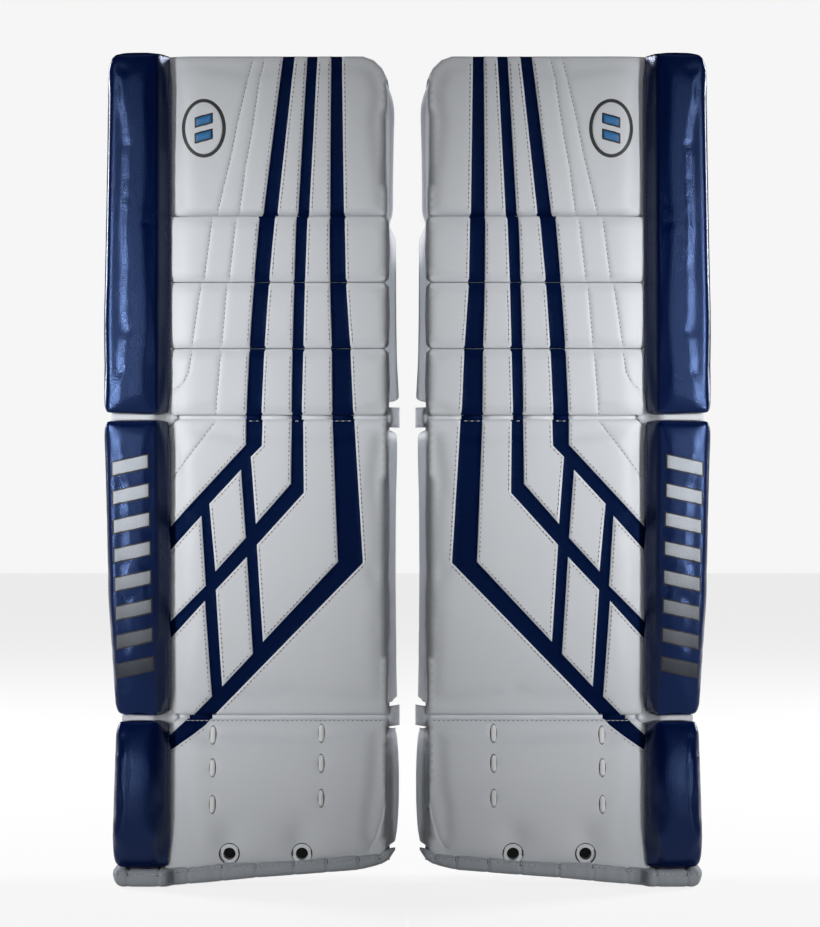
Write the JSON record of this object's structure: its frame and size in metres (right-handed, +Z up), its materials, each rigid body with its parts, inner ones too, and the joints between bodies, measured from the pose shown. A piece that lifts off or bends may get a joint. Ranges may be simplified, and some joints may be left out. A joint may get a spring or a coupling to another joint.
{
  "type": "goalie leg pads",
  "caption": "Pair of upright ice hockey goalie leg pads with padded outer rolls, knee rolls, flexing knee and boot breaks, calf wraps and buckled straps.",
  "frame": {"origin": "middle of the pair's footprint, on the ground", "axes": "+Z up towards the thighs, -Y the way the faces look, +X to the viewer's right"},
  "size_m": [0.57, 0.22, 0.783],
  "materials": {
    "cover": "satin",
    "outer_roll": "satin",
    "core": "matte",
    "liner": "matte",
    "wrap": "matte",
    "binding": "satin",
    "grommet": "polished",
    "lace": "matte",
    "webbing": "matte",
    "strap": "satin",
    "buckle": "polished",
    "rivet": "brushed"
  },
  "bodies": {
    "right_shin": {"right_shin_cover": "cover", "right_shin_core": "core", "right_shin_liner": "liner", "right_outer_roll_shin": "outer_roll", "right_calf_straps": "strap", "right_strap_rivets": "rivet", "right_calf_buckles": "buckle"},
    "right_thigh": {"right_thigh_cover": "cover", "right_thigh_core": "core", "right_thigh_liner": "liner", "right_knee_roll_lower": "cover", "right_knee_roll_middle": "cover", "right_knee_roll_upper": "cover", "right_outer_roll_thigh": "outer_roll", "right_knee_block": "wrap", "right_knee_strap": "webbing"},
    "right_boot": {"right_boot_cover": "cover", "right_boot_core": "core", "right_outer_roll_boot": "outer_roll", "right_toe_binding": "binding", "right_toe_grommets": "grommet", "right_boot_laces": "lace", "right_toe_bridge": "webbing", "right_boot_strap": "strap"},
    "right_calf_wrap_outer": {"right_calf_wrap_outer": "wrap"},
    "right_calf_wrap_inner": {"right_calf_wrap_inner": "wrap"},
    "right_knee_wing": {"right_knee_wing": "wrap"},
    "right_prong_upper": {"right_calf_prong_upper": "buckle"},
    "right_prong_lower": {"right_calf_prong_lower": "buckle"},
    "left_shin": {"left_shin_cover": "cover", "left_shin_core": "core", "left_shin_liner": "liner", "left_outer_roll_shin": "outer_roll", "left_calf_straps": "strap", "left_strap_rivets": "rivet", "left_calf_buckles": "buckle"},
    "left_thigh": {"left_thigh_cover": "cover", "left_thigh_core": "core", "left_thigh_liner": "liner", "left_knee_roll_lower": "cover", "left_knee_roll_middle": "cover", "left_knee_roll_upper": "cover", "left_outer_roll_thigh": "outer_roll", "left_knee_block": "wrap", "left_knee_strap": "webbing"},
    "left_boot": {"left_boot_cover": "cover", "left_boot_core": "core", "left_outer_roll_boot": "outer_roll", "left_toe_binding": "binding", "left_toe_grommets": "grommet", "left_boot_laces": "lace", "left_toe_bridge": "webbing", "left_boot_strap": "strap"},
    "left_calf_wrap_outer": {"left_calf_wrap_outer": "wrap"},
    "left_calf_wrap_inner": {"left_calf_wrap_inner": "wrap"},
    "left_knee_wing": {"left_knee_wing": "wrap"},
    "left_prong_upper": {"left_calf_prong_upper": "buckle"},
    "left_prong_lower": {"left_calf_prong_lower": "buckle"}
  },
  "joints": [
    {"name": "right_knee_break", "type": "hinge", "parent": "right_shin", "child": "right_thigh", "pos_m": [-0.145, -0.094, 0.4395], "axis": [-1, 0, 0], "range_deg": [-8, 15]},
    {"name": "right_boot_break", "type": "hinge", "parent": "right_shin", "child": "right_boot", "pos_m": [-0.145, -0.098, 0.157], "axis": [-1, 0, 0], "range_deg": [-10, 20]},
    {"name": "right_calf_wrap_outer_fold", "type": "hinge", "parent": "right_shin", "child": "right_calf_wrap_outer", "pos_m": [-0.241, -0.0115, 0.305], "axis": [0, 0, -1], "range_deg": [0, 60], "stiffness_Nm_per_rad": 0.5},
    {"name": "right_calf_wrap_inner_fold", "type": "hinge", "parent": "right_shin", "child": "right_calf_wrap_inner", "pos_m": [-0.03, -0.0235, 0.305], "axis": [0, 0, 1], "range_deg": [0, 60], "stiffness_Nm_per_rad": 0.5},
    {"name": "right_knee_wing_fold", "type": "hinge", "parent": "right_thigh", "child": "right_knee_wing", "pos_m": [-0.241, -0.002, 0.545], "axis": [0, 0, -1], "range_deg": [0, 60], "stiffness_Nm_per_rad": 0.4},
    {"name": "right_prong_upper_swing", "type": "hinge", "parent": "right_shin", "child": "right_prong_upper", "pos_m": [-0.26075, 0.026, 0.374], "axis": [0, 0, 1], "range_deg": [0, 75]},
    {"name": "right_prong_lower_swing", "type": "hinge", "parent": "right_shin", "child": "right_prong_lower", "pos_m": [-0.26075, 0.026, 0.234], "axis": [0, 0, 1], "range_deg": [0, 75]},
    {"name": "left_knee_break", "type": "hinge", "parent": "left_shin", "child": "left_thigh", "pos_m": [0.145, -0.094, 0.4395], "axis": [-1, 0, 0], "range_deg": [-8, 15]},
    {"name": "left_boot_break", "type": "hinge", "parent": "left_shin", "child": "left_boot", "pos_m": [0.145, -0.098, 0.157], "axis": [-1, 0, 0], "range_deg": [-10, 20]},
    {"name": "left_calf_wrap_outer_fold", "type": "hinge", "parent": "left_shin", "child": "left_calf_wrap_outer", "pos_m": [0.241, -0.0115, 0.305], "axis": [0, 0, 1], "range_deg": [0, 60], "stiffness_Nm_per_rad": 0.5},
    {"name": "left_calf_wrap_inner_fold", "type": "hinge", "parent": "left_shin", "child": "left_calf_wrap_inner", "pos_m": [0.03, -0.0235, 0.305], "axis": [0, 0, -1], "range_deg": [0, 60], "stiffness_Nm_per_rad": 0.5},
    {"name": "left_knee_wing_fold", "type": "hinge", "parent": "left_thigh", "child": "left_knee_wing", "pos_m": [0.241, -0.002, 0.545], "axis": [0, 0, 1], "range_deg": [0, 60], "stiffness_Nm_per_rad": 0.4},
    {"name": "left_prong_upper_swing", "type": "hinge", "parent": "left_shin", "child": "left_prong_upper", "pos_m": [0.26075, 0.026, 0.374], "axis": [0, 0, -1], "range_deg": [0, 75]},
    {"name": "left_prong_lower_swing", "type": "hinge", "parent": "left_shin", "child": "left_prong_lower", "pos_m": [0.26075, 0.026, 0.234], "axis": [0, 0, -1], "range_deg": [0, 75]},
    {"name": "pair_spacing", "type": "slide", "parent": "right_shin", "child": "left_shin", "axis": [1, 0, 0], "range_m": [0, 0.3]}
  ]
}
